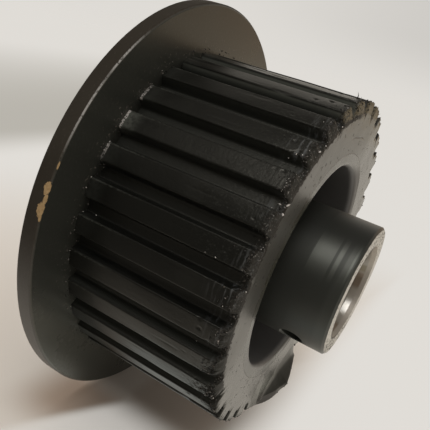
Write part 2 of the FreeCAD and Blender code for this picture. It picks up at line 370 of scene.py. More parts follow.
# %% [markdown]
# Torn rubber leaves shreds. Each shred is a bent splinter with seven points: a triangle where it is rooted, a
# smaller one halfway and a tip. Hundreds of them are worked out at once as one array, so that their number
# costs nothing in the code.

# %% Shape of a shred
SHRED_FACES = np.array([[0, 1, 4, 3], [1, 2, 5, 4], [2, 0, 3, 5]])
SHRED_CAPS = np.array([[2, 1, 0], [3, 4, 6], [4, 5, 6], [5, 3, 6]])


def unit(vectors):
    """Vectors scaled to length 1."""
    return vectors / np.linalg.norm(vectors, axis=-1, keepdims=True)


def splinters(root, way, side, length, width, bend):
    """Points of bent splinters: a root triangle, a smaller one at 55% of the length and a bent tip."""
    up = unit(np.cross(way, side))
    side = np.cross(up, way)
    turn = np.array([0.0, 2.1, 4.2])[None, :, None]
    ring = np.cos(turn) * side[:, None] + 0.45 * np.sin(turn) * up[:, None]
    middle = root + way * length * 0.55 + bend * 0.25
    tip = root + way * length + bend
    return np.concatenate([
        root[:, None] + ring * width[:, None], middle[:, None] + ring * width[:, None] * 0.6, tip[:, None],
    ], 1)


def splinter_faces(count):
    """Faces of so many splinters: three quads, three triangles to the tip and one at the root."""
    first = np.arange(count)[:, None, None] * 7
    return (first + SHRED_FACES).reshape(-1, 4).tolist() + (first + SHRED_CAPS).reshape(-1, 3).tolist()


# %% [markdown]
# Most shreds stand anywhere along the front edge; some longer ones sit on the worst ribs and further back.
# They are rooted a little inside the rubber and lean along the edge.

# %% Shreds on the front edge
SHRED_COUNT = 520
LONG_SHREDS = 60
SHRED_SINK = 0.05 * MM
SHRED_BACK = 0.9 * MM
LONG_BACK = 5 * MM
SHRED_LENGTHS = (0.35 * MM, 1.3 * MM)
LONG_FACTOR = 1.9
SHRED_WIDTHS = (0.07 * MM, 0.2 * MM)


def column_at(angle):
    """Number of the outline's point at or just after each angle."""
    return np.searchsorted(rib_angle, angle % (2 * math.pi)) % len(rib_angle)


def behind_edge(column, back):
    """Points of the tread in these columns, in the rows nearest to these distances behind the front edge."""
    from_edge = tread_points[:RIB_ROWS, column, 1] - tread_points[RIB_ROWS - 1, column, 1]
    return tread_points[np.abs(from_edge - back).argmin(0), column]


def front_shreds():
    """Splinters at random places of the front edge; the last ones are long and sit on the worst ribs."""
    draw = np.random.default_rng(17)
    spread = draw.normal(CHEWED_MIDDLE, CHEWED_SPREAD, LONG_SHREDS)
    column = draw.integers(0, len(rib_angle), SHRED_COUNT)
    column = np.concatenate([column, column_at(spread)])
    count = len(column)
    back = draw.exponential(SHRED_BACK, count)
    back[SHRED_COUNT:] = draw.uniform(0, LONG_BACK, LONG_SHREDS)
    root = behind_edge(column, back)
    angle = rib_angle[column]
    out = around(angle, 1.0, 0.0)
    ahead = around(angle + math.pi / 2, 1.0, 0.0)
    axle = np.array([0.0, 1.0, 0.0])
    sideways = draw.choice([-1, 1], count)[:, None] * draw.uniform(0.4, 1.0, count)[:, None]
    lift = draw.uniform(0.05, 0.55, (count, 1))
    drift = draw.normal(0, 0.35, (count, 1))
    way = unit(ahead * sideways + out * lift + axle * drift)
    length = draw.uniform(*SHRED_LENGTHS, (count, 1))
    length[SHRED_COUNT:] *= LONG_FACTOR
    width = draw.uniform(*SHRED_WIDTHS, (count, 1))
    bend = (out * draw.normal(0.1, 0.25, (count, 1)) + axle * draw.normal(0, 0.3, (count, 1))) * length
    return splinters(root - out * SHRED_SINK, way, unit(np.cross(way, out)), length, width, bend)


shred_points = front_shreds()
shreds = add_piece("torn_shreds", shred_points, splinter_faces(len(shred_points)))

# %% [markdown]
# One long shred stands up like a hair from the top rib near the front. It is one splinter more, rooted on the
# land and bent a little.

# %% A standing hair
HAIR_ANGLE = math.radians(94)
HAIR_ALONG = tread_front + 3 * MM
HAIR_LENGTH = 2.3 * MM
HAIR_WIDTH = 0.26 * MM
HAIR_BEND = 0.75 * MM

hair_way = around(np.array([HAIR_ANGLE]), 1.0, 0.0)
hair_points = splinters(
    hair_way * tread_radius + [[0, HAIR_ALONG, 0]], hair_way, np.array([[0.0, 1.0, 0.0]]),
    np.array([[HAIR_LENGTH]]), np.array([[HAIR_WIDTH]]), np.array([[0.0, HAIR_BEND, 0.0]]),
)
hair = add_piece("standing_hair", hair_points, splinter_faces(1))

# %% [markdown]
# Where rubber is torn it also crumbles. Crumbs lie on the ribs near their torn ends and in lines where the
# ribs meet the flange. A crumb is a twenty-sided lump whose corners are pushed in and out at random, and its
# lower part is sunk into the face that it lies on. Hundreds of lumps are one array, and so one mesh.

# %% Crumbs at the front and at the flange
FRONT_CRUMBS = 1300
WORST_CRUMBS = 300
ROOT_CRUMBS = 480
CRUMB_BACK = 1.2 * MM
CRUMB_SIZES = (0.08 * MM, 0.3 * MM)
ROOT_SIZES = (0.08 * MM, 0.32 * MM)
ROOT_LINES = (0.4 * MM, 1.8 * MM)
GOLDEN = (1 + 5 ** 0.5) / 2
LUMP_CORNERS = unit(np.array([
    (-1, GOLDEN, 0), (1, GOLDEN, 0), (-1, -GOLDEN, 0), (1, -GOLDEN, 0), (0, -1, GOLDEN), (0, 1, GOLDEN),
    (0, -1, -GOLDEN), (0, 1, -GOLDEN), (GOLDEN, 0, -1), (GOLDEN, 0, 1), (-GOLDEN, 0, -1), (-GOLDEN, 0, 1),
]))
LUMP_FACES = np.array([
    (0, 11, 5), (0, 5, 1), (0, 1, 7), (0, 7, 10), (0, 10, 11), (1, 5, 9), (5, 11, 4), (11, 10, 2), (10, 7, 6),
    (7, 1, 8), (3, 9, 4), (3, 4, 2), (3, 2, 6), (3, 6, 8), (3, 8, 9), (4, 9, 5), (2, 4, 11), (6, 2, 10),
    (8, 6, 7), (9, 8, 1),
])


def lumps(seed, centres, sizes):
    """Lumps about these centres: unit corners, each at 60% to 140% of the lump's own size."""
    draw = np.random.default_rng(seed)
    pushed = draw.uniform(0.6, 1.4, (len(centres), len(LUMP_CORNERS), 1))
    return centres[:, None] + LUMP_CORNERS * pushed * sizes[:, None]


def lump_faces(count):
    """Faces of so many lumps, twenty triangles each."""
    first = np.arange(count)[:, None, None] * len(LUMP_CORNERS)
    return (first + LUMP_FACES).reshape(-1, 3).tolist()


def front_crumbs():
    """Lumps that grow fewer behind the front edge, by an exponential; the last ones lie on the worst ribs."""
    draw = np.random.default_rng(41)
    worst = draw.normal(CHEWED_MIDDLE, CHEWED_SPREAD, WORST_CRUMBS)
    angle = np.concatenate([draw.uniform(0, 2 * math.pi, FRONT_CRUMBS), worst])
    back = draw.exponential(CRUMB_BACK, len(angle))
    size = draw.uniform(*CRUMB_SIZES, (len(angle), 1))
    return lumps(43, behind_edge(column_at(angle), back), size)


def root_crumbs():
    """Lumps on the flange's face, in two uneven lines close round the outline of the ribs."""
    draw = np.random.default_rng(23)
    column = draw.integers(0, len(rib_angle), ROOT_CRUMBS)
    size = draw.uniform(*ROOT_SIZES, (ROOT_CRUMBS, 1))
    away = draw.choice(ROOT_LINES, ROOT_CRUMBS) + draw.normal(0, 0.15, ROOT_CRUMBS) * MM
    angle = rib_angle[column] + draw.normal(0, 0.006, ROOT_CRUMBS)
    centre = around(angle, rib_radius[column] + away, tread_back)
    centre[:, 1:2] -= size * 0.3
    return lumps(29, centre, size)


crumb_points = np.concatenate([front_crumbs(), root_crumbs()])
crumbs = add_piece("rubber_crumbs", crumb_points, lump_faces(len(crumb_points)))

# %% [markdown]
# A few flecks are pale and catch the eye. They are lumps too, but their places are read from the photograph:
# an angle round the wheel in degrees, then a place along the axle for those on the ribs or a radius for those
# on the end face, and a size, all in millimetres.

# %% Pale flecks
RIB_FLECKS = np.array([
    (148.7, 27.3, 0.2), (151.8, 29.7, 0.22), (156.0, 29.8, 0.2), (160.3, 29.7, 0.2), (170.5, 27.2, 0.22),
    (205.7, 29.9, 0.18), (132.6, -24.3, 0.2), (132.2, -26.8, 0.24), (131.9, -28.2, 0.2), (165.6, -21.0, 0.2),
    (165.7, -17.4, 0.16), (145.4, -28.4, 0.26), (145.6, -28.0, 0.22), (159.0, -29.2, 0.2),
    (158.2, -29.4, 0.16),
])
FACE_FLECKS = np.array([
    (148.2, 59.2, 0.42), (145.1, 59.0, 0.34), (145.6, 59.6, 0.3), (144.6, 58.4, 0.26), (123.1, 59.4, 0.16),
    (127.2, 60.6, 0.34), (112.0, 59.4, 0.2), (171.1, 60.0, 0.18),
])
EDGE_TURNS = np.linspace(139.8, 143.6, 7)
EDGE_BACK = 1.2
EDGE_SIZE = 0.12


def pale_flecks():
    """Lumps of the listed sizes at the listed places, and small ones in a row along the front edge."""
    edge = np.stack(np.broadcast_arrays(EDGE_TURNS, tread_front / MM + EDGE_BACK, EDGE_SIZE), -1)
    turn, place, size = np.concatenate([RIB_FLECKS, edge]).T
    on_ribs = behind_edge(column_at(np.radians(turn)), place * MM - tread_front)
    on_face = around(np.radians(FACE_FLECKS[:, 0]), FACE_FLECKS[:, 1] * MM, tread_front)
    sizes = np.concatenate([size, FACE_FLECKS[:, 2]])[:, None] * MM
    return lumps(53, np.concatenate([on_ribs, on_face]), sizes)


fleck_points = pale_flecks()
flecks = add_piece("pale_flecks", fleck_points, lump_faces(len(fleck_points)))

# %% [markdown]
# ## Finishes
# A shader is arithmetic on values that change over a surface. Writing it as Python expressions keeps it
# readable: this class holds one socket, and + - * / and ** on it add Math nodes. Its node method adds
# any node at all, from its type, its settings and what goes into its sockets.

# %% A class for shader sockets
class Wire:
    """One output of a node tree, with arithmetic."""

    def __init__(self, tree, socket=None):
        self.tree = tree
        self.socket = socket

    def node(self, kind, settings, sockets, output=0):
        """Adds a node: sets its settings, then a value or a link for each socket, and gives one output."""
        added = self.tree.nodes.new(kind)
        for name, value in settings.items():
            setattr(added, name, value)
        for key, value in sockets.items():
            if isinstance(value, Wire):
                self.tree.links.new(value.socket, added.inputs[key])
            else:
                added.inputs[key].default_value = value
        return Wire(self.tree, added.outputs[output] if len(added.outputs) else None)

    def math(self, operation, first, second):
        """One Math node on two values."""
        return self.node("ShaderNodeMath", {"operation": operation}, {0: first, 1: second})

    def __add__(self, other):
        return self.math("ADD", self, other)

    def __sub__(self, other):
        return self.math("SUBTRACT", self, other)

    def __rsub__(self, other):
        return self.math("SUBTRACT", other, self)

    def __mul__(self, other):
        return self.math("MULTIPLY", self, other)

    def __truediv__(self, other):
        return self.math("DIVIDE", self, other)

    def __pow__(self, other):
        return self.math("POWER", self, other)

    __radd__ = __add__
    __rmul__ = __mul__


# %% [markdown]
# A few words make the finishes short: fade rises smoothly from 0 to 1 between two values, near is a soft band
# about a value, grain is a noise, mix blends two colours and layered lays many on one another.

# %% Words for finishes
def fade(value, start, end):
    """0 before start, 1 after end, with a smooth step between; start may be larger than end."""
    settings = {"interpolation_type": "SMOOTHSTEP"}
    return value.node("ShaderNodeMapRange", settings, {"Value": value, "From Min": start, "From Max": end})


def near(value, middle, reach, core=0.4):
    """1 within a core of the reach about the middle, falling to 0 at the reach."""
    return fade(value.math("ABSOLUTE", value - middle, 0.0), reach, reach * core)


def most(first, second):
    """The larger of two values."""
    return first.math("MAXIMUM", first, second)


def grain(place, scale, detail=3.0, roughness=0.55):
    """Noise from 0 to 1 about a half, with so many grains in a metre."""
    sockets = {"Vector": place, "Scale": scale, "Detail": detail, "Roughness": roughness}
    return place.node("ShaderNodeTexNoise", {"noise_dimensions": "3D"}, sockets)


def mix(mask, below, above):
    """Colour below where the mask is 0 and above where it is 1."""
    return mask.node("ShaderNodeMix", {"data_type": "RGBA"}, {0: mask, 6: below, 7: above}, 2)


def layered(colour, layers):
    """A colour with layers laid on it one by one, each given by its mask and its own colour."""
    for mask, above in layers:
        colour = mix(mask, colour, above)
    return colour


def grey(level, warmth=0.0):
    """A colour of that level, a little warmer or cooler than grey."""
    return (level * (1 + warmth), level, level * (1 - warmth), 1.0)


def soot(level):
    """A dark of that level with less red and blue, which looks neutral in this room's warm light."""
    return (level * 0.93, level, level * 0.88, 1.0)


# %% [markdown]
# Every finish here reads the same places: across the wheel, along the axle, up, the distance from the axle
# and the angle round it. Finish starts a material with them. They come from Object coordinates, so a pattern
# stays on its piece when the piece moves, and they are in millimetres.

# %% Starting and closing a finish
def axes_of(place):
    """The parts of a place or a direction along X, Y and Z."""
    return [place.node("ShaderNodeSeparateXYZ", {}, {"Vector": place}, name) for name in "XYZ"]


class Finish:
    """A new material and the places on the wheel that it reads, in millimetres."""

    def __init__(self, name):
        self.material = bpy.data.materials.new(name)
        self.material.use_nodes = True
        self.material.node_tree.nodes.clear()
        self.start = Wire(self.material.node_tree)
        self.place = self.start.node("ShaderNodeTexCoord", {}, {}, "Object")
        self.x, self.along, self.z = (axis / MM for axis in axes_of(self.place))
        self.radius = (self.x * self.x + self.z * self.z) ** 0.5
        self.angle = self.start.math("ARCTAN2", self.z, self.x)

    def vector(self, x, y, z):
        """A place made of three values, for patterns that follow the axle or a circle about it."""
        return self.start.node("ShaderNodeCombineXYZ", {}, {"X": x, "Y": y, "Z": z})

    def turned(self, turn, reach, core=0.4):
        """1 near a turn about the axle; the turn and its reach are in degrees."""
        return near(self.angle, math.radians(turn), math.radians(reach), core)

    def close(self, colour, rough, height, depth, **constants):
        """Joins colour, roughness and a bump of that depth to a shader; constants go on its own sockets."""
        bump = self.start.node("ShaderNodeBump", {}, {"Height": height, "Distance": depth * MM})
        sockets = {"Base Color": colour, "Roughness": rough, "Normal": bump}
        sockets.update({key.replace("_", " "): value for key, value in constants.items()})
        shader = self.start.node("ShaderNodeBsdfPrincipled", {}, sockets)
        self.start.node("ShaderNodeOutputMaterial", {}, {"Surface": shader})
        print("finish", self.material.name, len(self.material.node_tree.nodes), "nodes")
        return self.material


def dress(piece, material):
    """Gives a piece or a CAD node that one material."""
    if not piece.data.materials:
        piece.data.materials.append(material)
    piece.material_slots[0].material = material


# %% [markdown]
# Black rubber is hardly a colour at all: what the eye sees is its sheen. Its finish is laid on as wear is, in
# layers, each a mask and the colour that it brings. Several layers share lengths, noises and regions, so
# those come first. The main regions are the cut end face, which the torn ends of the ribs break into on the
# worn side, the ribs behind it and the ragged strip at their front ends.

# %% Rubber: what its layers share
WORN_X = math.cos(WORN_MIDDLE)
WORN_Z = math.sin(WORN_MIDDLE)
FACE_EDGE = (0.45, 0.1)
RAGGED_STRIP = (3.4, 1.0)
SCUFFED_STRIP = (13.0, 1.0)
TORN_SPREAD = 5.0


class Rubber(Finish):
    """The rubber's finish with distances from the tread's edges, noises and regions."""

    def __init__(self):
        super().__init__("worn_rubber")
        self.behind = self.along - tread_front / MM
        self.before_flange = tread_back / MM - self.along
        self.below = tread_radius / MM - self.radius
        self.above = self.radius - floor_radius / MM
        self.in_pitch = self.start.math("FLOORED_MODULO", self.angle, pitch)
        self.cloud = grain(self.place, 70, 4)
        self.fine = grain(self.place, 900, 3)
        self.torn = grain(self.place, 1600, 2, 0.7)
        self.strokes = grain(self.vector(self.angle * 8.0, self.along * 0.9, self.radius * 0.3), 1.0, 3, 0.6)
        self.streaks = grain(self.vector(self.angle * 5.0, 0.0, self.radius * 0.9), 1.0, 3, 0.65)
        self.at_front = fade(self.behind, *FACE_EDGE)
        self.ribs = 1 - self.at_front
        self.worn_side = fade((self.x * WORN_X + self.z * WORN_Z) / self.radius, 0.45, 0.56)
        self.edge = self.above + (grain(self.place, 650, 3, 0.7) - 0.5) * TORN_SPREAD
        self.rib_end = fade(self.edge, -1.6, -1.2)
        self.face = self.at_front * (1 - self.rib_end * self.worn_side)
        self.scuffed = fade(self.behind, *SCUFFED_STRIP)
        self.ragged = fade(self.behind, *RAGGED_STRIP) * (1 - self.face)
        self.upper = fade(self.z, -18, 8) * 0.65 + 0.35


# %% [markdown]
# Dust lies where nothing rubs: as powder on the front of the upper lands, against the flange, in the grooves
# and on the flanks. By the flange it is painted paler at one angle, as a painted highlight. In the grooves
# and on the flanks it is painted lighter near the top and on the lower flanks that face up, as painted light.
# These tones, more than the black, let the eye tell these faces apart, so each has its own.

# %% Rubber: dust on the ribs
EDGE_TURN = float(np.angle(flank_point(tread_radius - tip_radius, tip_radius)))
FLANK_TURNS = (EDGE_TURN * 1.05, EDGE_TURN * 0.85)
FLANGE_HIGHLIGHT_TURN = 140
FLANGE_HIGHLIGHT_REACH = 17


def rib_layers(f):
    """Dust on the lands and before the flange with a painted highlight, and painted light in grooves and on
    flanks.
    """
    powder = fade(f.torn, 0.54, 0.7) * fade(f.along, 5, -22) * fade(f.z, 0, 30) * f.ribs
    # Dust against the flange, painted paler near one angle as a painted highlight.
    settled_dust_and_highlight = fade(f.before_flange, 8, 1) * fade(f.z, -10, 20) * (0.4 + fade(f.fine, 0.3, 0.6) * 0.6) * f.ribs
    # Painted light: grooves and flanks are lighter near the top, and the lower flanks that face up are
    # lighter too.
    groove = fade(f.above, 1.4, 0.4) * f.ribs
    flank = fade(f.below, 0.3, 1.0) * f.ribs
    ledge = flank * fade(f.in_pitch, *FLANK_TURNS) * fade(f.z, 0, -20)
    brow = flank * fade(pitch - f.in_pitch, *FLANK_TURNS) * fade(f.z, 56, 59)
    return {
        "powder": (powder, soot(0.03)),
        "settled_dust_and_highlight": (settled_dust_and_highlight, mix(f.turned(FLANGE_HIGHLIGHT_TURN, FLANGE_HIGHLIGHT_REACH / 2), soot(0.022), soot(0.085))),
        "groove": (groove, mix(fade(f.z, 48, 60), soot(0.011), soot(0.06))),
        "flank": (flank * fade(f.z, 20, 45), soot(0.02)),
        "ledge": (ledge, soot(0.032)),
        "brow": (brow, soot(0.10)),
    }


# %% [markdown]
# The end face was cut, so it is greyer and smoother than the ribs and has faint streaks round the axle. A
# patch low on it is painted paler as painted light, the ends of the top ribs are tan, and the folded lip is
# black with a pale rim of torn rubber that also carries a painted highlight.

# %% Rubber: the end face
FACE_DARK = (0.036, 0.0355, 0.032, 1)
FACE_PALE = (0.068, 0.067, 0.060, 1)
TAN_ENDS = (0.185, 0.155, 0.10, 1)
PAINTED_LIGHT_TURN = math.radians(-88)
PAINTED_LIGHT_REACH = math.radians(13)
PAINTED_LIGHT_INNER = (47, 55)
PAINTED_LIGHT_OUTER = (60, 57)
TAN_ABOVE = (55.5, 57.5)
LIP_RIM = (61.0, 61.5)


def end_layers(f):
    """The cut face, a patch of painted light low on it, the tan ends of the top ribs, and the lip with its
    rim.
    """
    # A patch low on the face is painted paler: painted light.
    patch = near(f.angle + (f.cloud - 0.5) * 0.2, PAINTED_LIGHT_TURN, PAINTED_LIGHT_REACH, 0.0)
    painted_light = patch * f.face * fade(f.radius, *PAINTED_LIGHT_OUTER) * fade(f.radius, *PAINTED_LIGHT_INNER)
    teeth = fade(f.above, -0.6, 0.6) * fade(f.z, *TAN_ABOVE)
    teeth = teeth * fade(f.behind, 1.6, 0.6) * fade(f.torn, 0.36, 0.5)
    # The lip's torn rim: pale rubber, made paler still as a painted highlight.
    strip = fade(f.behind, -0.5, -1.5) * fade(f.x, 20, 12) * fade(f.radius, *LIP_RIM)
    leaf = fade(f.behind, -0.9, -1.8) * (1 - strip)
    return {
        "face": (f.face, mix(f.streaks, FACE_DARK, FACE_PALE)),
        "painted_light": (painted_light, soot(0.12)),
        "teeth": (teeth, TAN_ENDS),
        "leaf": (leaf, soot(0.012)),
        "strip": (strip, grey(0.11, 0.03)),
    }


# %% [markdown]
# Wear comes next. The front ends of the ribs are scuffed sideways, frayed and torn, with dark gaps and a few
# pale flakes. The upper edges of the ribs are rubbed and, towards the flange, painted light as a painted
# highlight, and a painted highlight shows as a white line where some of them meet the flange. Last come the
# small marks on the end face: pits, the brown joint with the drum and one curved crack.

# %% Rubber: wear and marks
SCUFF_TONE = (0.085, 0.092, 0.098, 1)
GAP_TONE = (0.012, 0.008, 0.006, 1)
JOINT_TONE = (0.045, 0.026, 0.016, 1)
RUBBED_HIGHLIGHT_WIDTH = 0.35 * MM
JOINT_WIDTH = 0.35
CRACK_TURN = 85.8
CRACK_REACH = 11
CRACK_RADIUS = 50.8
CRACK_WIDTH = 0.35


def wear_layers(f):
    """Scuffs, frays, flakes and gaps at the ribs' front ends; rubbed upper edges and a flange line, painted
    as highlights.
    """
    scuff = f.scuffed * fade(f.strokes, 0.51, 0.66) * fade(f.cloud, 0.35, 0.65) * (1 - f.face) * f.upper
    gaps = f.ragged * fade(f.torn, 0.50, 0.41)
    rift = f.rib_end * fade(f.edge, 0.1, -0.4) * f.at_front * f.worn_side
    # The rubbed upper edges are painted light near the flange as a painted highlight.
    upper_edge = near(f.in_pitch, EDGE_TURN, RUBBED_HIGHLIGHT_WIDTH / tread_radius) * f.ribs * fade(f.below, 1.0, 0.4)
    # A painted highlight where the ribs meet the flange, near one angle.
    flange_highlight = fade(f.before_flange, 1.2, 0.7) * f.turned(FLANGE_HIGHLIGHT_TURN, FLANGE_HIGHLIGHT_REACH)
    return {
        "scuff": (scuff, SCUFF_TONE),
        "frayed": (f.ragged * fade(f.torn, 0.55, 0.66) * f.upper, grey(0.06, 0.06)),
        "flakes": (f.ragged * fade(f.torn, 0.66, 0.71) * f.worn_side * fade(f.z, 0, 10), grey(0.40, 0.02)),
        "gaps": (most(gaps, rift), GAP_TONE),
        "rubbed_highlight": (upper_edge * fade(f.before_flange, 24, 2) * fade(f.fine, 0.35, 0.6), soot(0.045)),
        "flange_highlight": (flange_highlight * fade(f.below, 1.2, 0.5) * fade(f.torn, 0.44, 0.52), grey(0.55, 0.03)),
    }


def mark_layers(f):
    """Pits, the joint with the drum and the crack, all on the end face."""
    joint = fade(f.radius - tread_inner / MM, JOINT_WIDTH, JOINT_WIDTH * 0.4)
    crack = near(f.radius + (f.cloud - 0.5) * 2.0, CRACK_RADIUS, CRACK_WIDTH)
    return {
        "pits": (fade(grain(f.place, 520, 2), 0.66, 0.71) * f.face, grey(0.015)),
        "joint": (joint * f.face * (0.3 + fade(f.z, 15, 30) * 0.7), JOINT_TONE),
        "crack": (crack * f.turned(CRACK_TURN, CRACK_REACH) * f.face, grey(0.004)),
    }


# %% [markdown]
# The layers are laid on black rubber with a thin film of dust. The lands are satin. The cut end face is
# smoother, so that at a flat angle it mirrors the pale room while its middle mirrors the hub.

# %% Rubber: the whole finish
HOLLOW_TURN = -68
HOLLOW_REACH = 12
HOLLOW_RADII = (51.0, 54.5)


def rubber_finish():
    """All layers on the film, with one roughness for the ribs and another for the end face."""
    f = Rubber()
    layers = {**rib_layers(f), **end_layers(f), **wear_layers(f), **mark_layers(f)}
    film = fade(f.cloud, 0.45, 0.75) * 0.5 + fade(f.fine, 0.6, 0.8) * 0.3
    colour = layered(mix(film, soot(0.005), soot(0.011)), layers.values())
    reused = ("scuff", "teeth", "leaf", "pits", "crack")
    scuff, teeth, leaf, pits, crack = (layers[name][0] for name in reused)
    upper_left = fade((f.z - f.x) * 0.7, 12, 26)
    hollow = f.turned(HOLLOW_TURN, HOLLOW_REACH) * fade(f.radius, *HOLLOW_RADII) * f.face
    satin = 0.31 + f.cloud * 0.12 + scuff * 0.2 + f.ragged * 0.32
    cut = 0.20 + f.streaks * 0.08 + upper_left * 0.09 + pits * 0.15 + teeth * 0.3 + leaf * 0.25 + hollow * 0.2
    height = f.fine * 0.5 * (1 - f.face * 0.7) + f.strokes * f.scuffed * 0.8 + f.cloud * 0.4
    height = height + f.torn * f.ragged * 2.0 - pits * 0.9 - crack * 2.0
    rough = satin * (1 - f.face) + cut * f.face
    return f.close(colour, rough, height, 0.12, Specular_Tint=(1.0, 0.98, 0.88, 1))


rubber = rubber_finish()
for piece in (rubber_tread, shreds, hair):
    dress(piece, rubber)

# %% [markdown]
# Crumbs are bits of the same rubber with dust on them, some brown and a few nearly white. One noise, coarse
# enough that a whole crumb falls on one tone, sorts them. The pale flecks get a chalky white of their own.

# %% Crumbs and flecks
def crumb_finish():
    f = Finish("dusty_crumbs")
    tone = grain(f.place, 800, 1)
    colour = mix(fade(tone, 0.46, 0.58), grey(0.015, 0.08), grey(0.075, 0.12))
    colour = mix(fade(tone, 0.64, 0.71), colour, grey(0.5, 0.05))
    return f.close(colour, tone * 0.2 + 0.45, grain(f.place, 2500), 0.05)


def fleck_finish():
    f = Finish("chalky_flecks")
    tone = grain(f.place, 1500, 2)
    return f.close(mix(tone, grey(0.4, 0.03), grey(0.85, 0.03)), 0.4 + tone * 0.2, tone, 0.05)


dress(crumbs, crumb_finish())
dress(flecks, fleck_finish())

# %% [markdown]
# The flange is a disc under black paint, smooth enough on its face to mirror the brown side of the room above
# the tread. Its rim is painted paler low down, as a painted reflection. Its front corner is rubbed down to
# grey metal, painted palest near one angle as a painted highlight, and at one place blows have broken the
# paint away to a tan filler. A chip is drawn on the unrolled corner: one coordinate is the angle, the other
# runs along the face, over the corner and across the rim, so one oval can wrap round the corner.

# %% Flange paint
CHIPS = (
    (166.0, 1.6, 0.55, 1.4),
    (168.3, 1.2, 0.0, 0.85),
    (170.7, 1.7, 0.7, 1.45),
    (172.4, 1.0, 0.1, 0.55),
    (160.7, 0.85, -0.35, 0.4),
)
CORNER_REACH = 0.55
RIM_START = (0.7, 0.2)
CORNER_HIGHLIGHT_TURN = 141
CORNER_HIGHLIGHT_REACH = 19
DUST_RADIUS = 64.8
DUST_WIDTH = 0.6
RIM_DARK = (0.017, 0.014, 0.011, 1)
RIM_PALE = (0.035, 0.029, 0.023, 1)
FILLER_DARK = (0.24, 0.15, 0.065, 1)
FILLER_PALE = (0.48, 0.34, 0.18, 1)


def chip(f, over, ragged, turn, half_turn, middle, half):
    """Mask of an oval chip, from its angle and half width in degrees and its place over the corner."""
    beside = (f.angle - math.radians(turn)) / math.radians(half_turn)
    across = (over - middle) / half
    return fade(beside * beside + across * across + ragged, 1.12, 0.92)


def flange_finish():
    """Black paint, paler low down; brown rim, painted paler low; dust near ribs; bare corner with painted
    highlight; chips.
    """
    f = Finish("worn_black_paint")
    cloud = grain(f.place, 45, 4)
    fine = grain(f.place, 1100, 3)
    ragged = (grain(f.place, 900, 3, 0.7) - 0.5) * 2.6
    inside = flange_radius / MM - f.radius
    over = f.along - tread_back / MM - inside
    chips = chip(f, over, ragged, *CHIPS[0])
    for place in CHIPS[1:]:
        chips = most(chips, chip(f, over, ragged, *place))
    rim = fade(inside, *RIM_START)
    corner = near(over, 0.0, CORNER_REACH) * fade(fine, 0.3, 0.5) * fade(cloud, 0.3, 0.6)
    near_ribs = fade(f.radius - tread_radius / MM, 9, 0)
    specks = fade(grain(f.place, 800, 2), 0.63, 0.7) * (near_ribs * 0.8 + 0.1)
    dotted = near(f.radius, DUST_RADIUS, DUST_WIDTH) * fade(grain(f.place, 700, 2), 0.56, 0.68) * 0.6
    dust = most(specks, dotted)
    colour = layered(mix(cloud, soot(0.023), soot(0.037)), [
        (fade(fine, 0.5, 0.75) * 0.5, soot(0.055)),
        (fade(f.z, -5, -35) * (fade(f.z, -74, -50) * 0.7 + 0.3), soot(0.075)),
        (rim, mix(cloud, RIM_DARK, RIM_PALE)),
        # Painted reflection: the rim is paler low down.
        (rim * fade(f.z, 10, -30), grey(0.085)),
        (dust, grey(0.12, 0.12)),
        # The bare corner is palest near one angle: a painted highlight.
        (corner * (f.turned(CORNER_HIGHLIGHT_TURN, CORNER_HIGHLIGHT_REACH) * 0.95 + 0.05), grey(0.36)),
        (chips, mix(fine, FILLER_DARK, FILLER_PALE)),
    ])
    rough = 0.22 + cloud * 0.14 + dust * 0.2 + rim * (0.15 + fade(f.z, 20, 60) * 0.5) + chips * 0.3
    height = fine * (0.2 + rim * 0.4) + cloud * 0.3 - chips * 2.0 + dust * 0.5
    return f.close(colour, rough, height, 0.12, Specular_Tint=(1.0, 0.94, 0.78, 1))


dress(nodes["rear_flange"], flange_finish())

# %% [markdown]
# The hub is turned steel, blackened, then cut bare on its end face and in its bore. The bore comes first: its
# wall is grey steel with stains, which are set by their angle round the axle, a painted highlight at one
# angle, and a tapered entry that is paler on one side.

# %% Bore of the hub
BROWN_PLACES = ((-4, 15), (-80, 16))
OLIVE_PLACE = (13, 7)
PALE_ENTRY_PLACE = (38, 34)
BORE_HIGHLIGHT_PLACE = (-42, 15)
WALL_STEEL = (0.50, 0.475, 0.43, 1)
WALL_BROWN = (0.30, 0.245, 0.195, 1)
WALL_OLIVE = (0.33, 0.30, 0.235, 1)
WALL_HIGHLIGHT = (0.64, 0.63, 0.60, 1)
ENTRY_STEEL = (0.50, 0.465, 0.42, 1)
ENTRY_PALE = (0.64, 0.60, 0.54, 1)


def bore_wall(f, entry, shiny):
    """Colour of the bore's wall: stains and a painted highlight by angle, then the tapered entry and its
    paler side.
    """
    return layered(WALL_STEEL, [
        (most(f.turned(*BROWN_PLACES[0]), f.turned(*BROWN_PLACES[1])), WALL_BROWN),
        (f.turned(*OLIVE_PLACE), WALL_OLIVE),
        # A painted highlight on the wall at one angle.
        (shiny, WALL_HIGHLIGHT),
        (entry, ENTRY_STEEL),
        (f.turned(*PALE_ENTRY_PLACE) * entry, ENTRY_PALE),
    ])


# %% [markdown]
# One finish holds the whole hub: where the place is inside the bore or on the end face, a mask turns the
# black skin into metal. Sliding against its neighbour polished the barrel in bands, whose pale colour is
# painted only on the side where the lamp's highlight falls: a painted highlight. The top of the barrel is
# painted darker, as painted shade.

# %% Hub steel
BORE_LEAD = 0.6
BARE_EDGE = 24.3
BANDS = ((-38.0, 3.7, 0.7, 0.9), (-43.3, 1.1, 0.9, 0.4), (-46.6, 1.2, 0.5, 0.4), (-47.8, 0.5, 1.0, 0.5))
BAND_HIGHLIGHT_TURN = 142
BAND_HIGHLIGHT_REACH = 22
DULL_FROM = -34.3
PALE_END = (-44, -46)
END_DARK = (0.45, 0.435, 0.40, 1)
END_PALE = (0.55, 0.525, 0.485, 1)
END_PITS = (0.05, 0.042, 0.035, 1)
MOUTH_BROWN = (0.05, 0.035, 0.025, 1)


